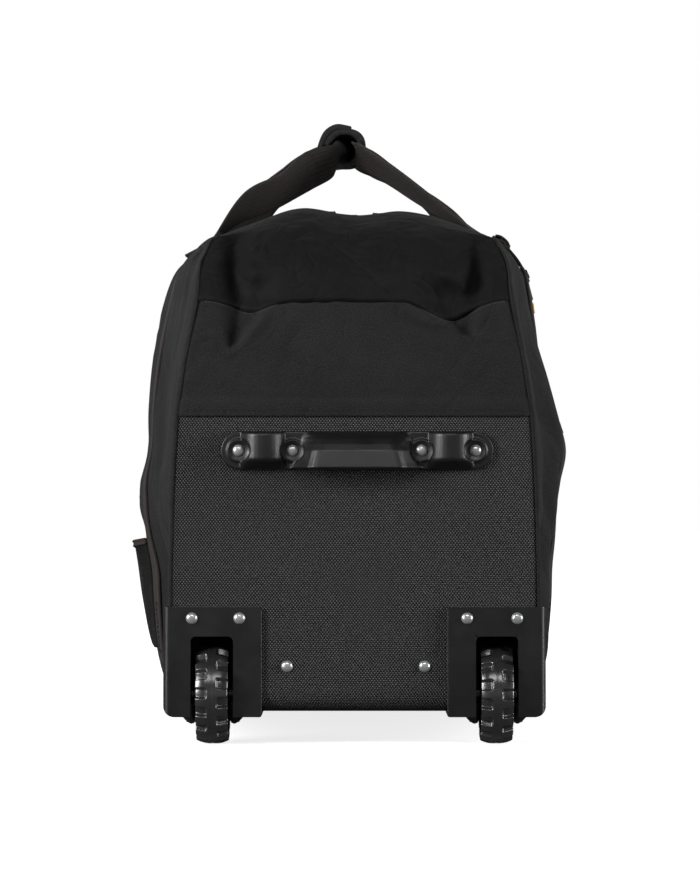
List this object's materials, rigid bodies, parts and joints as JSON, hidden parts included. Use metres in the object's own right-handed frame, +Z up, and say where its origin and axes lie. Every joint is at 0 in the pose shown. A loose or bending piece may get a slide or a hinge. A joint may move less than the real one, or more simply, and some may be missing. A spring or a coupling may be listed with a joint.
{
  "type": "wheeled holdall bag",
  "caption": "Long soft black holdall lying on its base, with wheels in moulded corners and a moulded grab handle on one end, and carry straps joined by a rolled pad.",
  "frame": {"origin": "on the floor below the middle of the bag", "axes": "+Y runs along the bag from the wheel end to the far end, +Z is up, +X is to the right of a viewer who faces the wheel end"},
  "size_m": [0.3794, 0.8321, 0.5481],
  "materials": {
    "canvas": "matte coated canvas",
    "weave": "coarse basket weave",
    "webbing": "soft webbing",
    "zip": "coil zip on tape",
    "pull_tip": "moulded",
    "moulding": "satin",
    "zinc": "bright zinc",
    "tyre": "semi gloss"
  },
  "bodies": {
    "bag": {"wheel_end_canvas": "canvas", "far_end_panel": "canvas", "side_panel_left": "canvas", "side_panel_right": "canvas", "top_panel": "canvas", "side_pocket_left": "canvas", "base_panel": "weave", "wheel_end_panel": "weave", "strap_left": "webbing", "strap_right": "webbing", "handle_wrap": "webbing", "haul_loop": "webbing", "main_zip": "zip", "main_zip_slider": "zip", "side_zip": "zip", "side_zip_slider": "zip", "side_zip_pull": "zip", "side_zip_pull_tip": "pull_tip", "grab_handle": "moulding", "housing_left": "moulding", "housing_right": "moulding", "handle_rivet_1": "zinc", "handle_rivet_2": "zinc", "handle_rivet_3": "zinc", "handle_rivet_4": "zinc", "panel_rivet_left": "zinc", "panel_rivet_right": "zinc", "housing_rivet_left_outer": "zinc", "housing_rivet_left_inner": "zinc", "housing_rivet_right_inner": "zinc", "housing_rivet_right_outer": "zinc", "axle_left": "zinc", "axle_right": "zinc"},
    "wheel_left": {"wheel_left": "tyre"},
    "wheel_right": {"wheel_right": "tyre"}
  },
  "joints": [
    {"name": "wheel_left_spin", "type": "hinge", "parent": "bag", "child": "wheel_left", "pos_m": [-0.114, -0.3705, 0.04], "axis": [1, 0, 0], "continuous": true},
    {"name": "wheel_right_spin", "type": "hinge", "parent": "bag", "child": "wheel_right", "pos_m": [0.114, -0.3705, 0.04], "axis": [1, 0, 0], "continuous": true}
  ]
}
